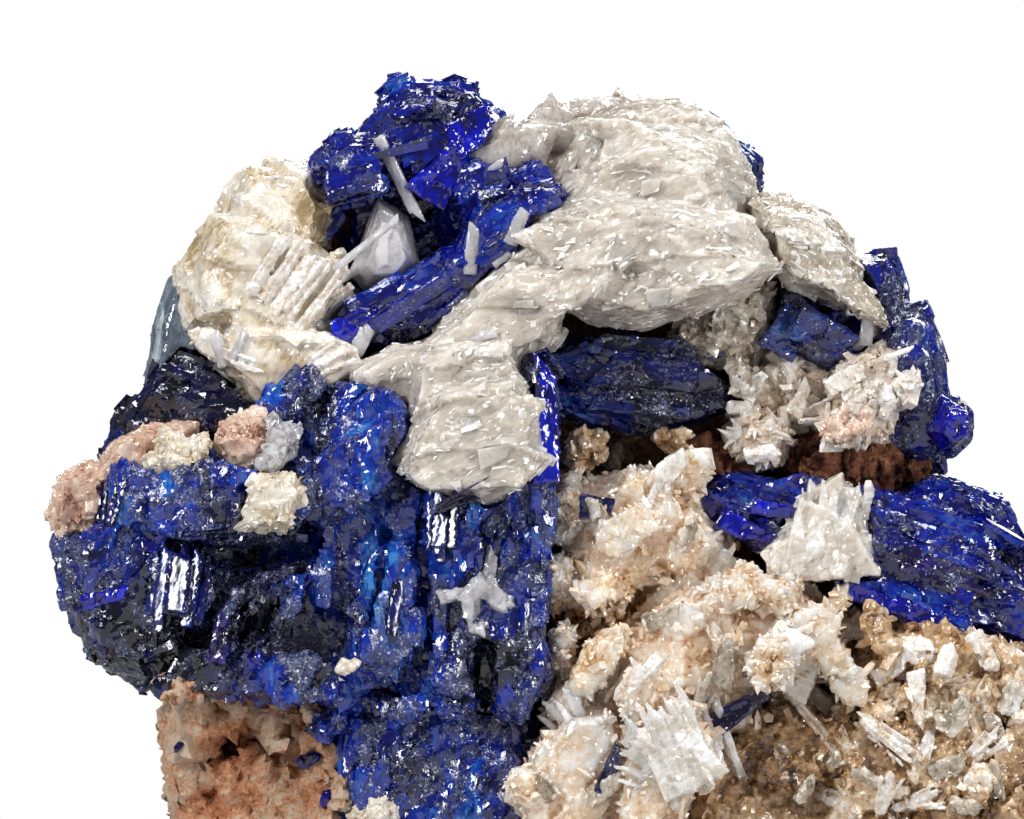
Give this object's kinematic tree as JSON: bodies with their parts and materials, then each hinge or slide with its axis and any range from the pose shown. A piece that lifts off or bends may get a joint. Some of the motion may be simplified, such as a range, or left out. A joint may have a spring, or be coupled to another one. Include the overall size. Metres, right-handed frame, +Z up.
{
  "type": "linarite specimen",
  "caption": "Mineral specimen: deep blue linarite crystals and pale crystals over druse on broken host rock, with a flat underside to stand on.",
  "frame": {"origin": "on the flat underside of the host rock, below the middle of the crystals", "axes": "+Z up, the crystals face -Y, +X to the right as seen from the front"},
  "size_m": [0.0504, 0.0292, 0.0409],
  "materials": {
    "linarite": "vitreous, striated, deep blue",
    "dark_linarite": "vitreous, striated, navy to slate blue",
    "pale_crystal": "silky to vitreous, translucent white and cream",
    "clear_crystal": "vitreous, nearly colourless",
    "pink_crystal": "sugary, peach pink",
    "druse": "sugary crust of small glassy points",
    "rust": "matt, earthy",
    "host_rock": "matt, rough, pitted"
  },
  "bodies": {
    "root": {"linarite_left": "linarite", "linarite_top": "linarite", "linarite_right": "linarite", "linarite_fan": "linarite", "linarite_back": "linarite", "linarite_shoulder": "dark_linarite", "linarite_side_blade": "dark_linarite", "linarite_pocket": "dark_linarite", "linarite_vein": "dark_linarite", "linarite_crest": "dark_linarite", "white_crystal_tuft": "pale_crystal", "white_crystal_block": "pale_crystal", "white_crystal_crown": "pale_crystal", "white_crystal_right": "pale_crystal", "white_crystal_left": "pale_crystal", "white_crystal_wedge": "pale_crystal", "needle_crystal": "clear_crystal", "clear_crystal": "clear_crystal", "glassy_crystal_tuft": "clear_crystal", "grey_crystal_cluster": "clear_crystal", "pink_crystal_tuft": "pink_crystal", "pink_crust": "pink_crystal", "druse_pocket": "druse", "druse_front": "druse", "druse_side": "druse", "druse_back_left": "druse", "druse_back_right": "druse", "rust_seam": "rust", "host_rock": "host_rock"}
  },
  "joints": []
}
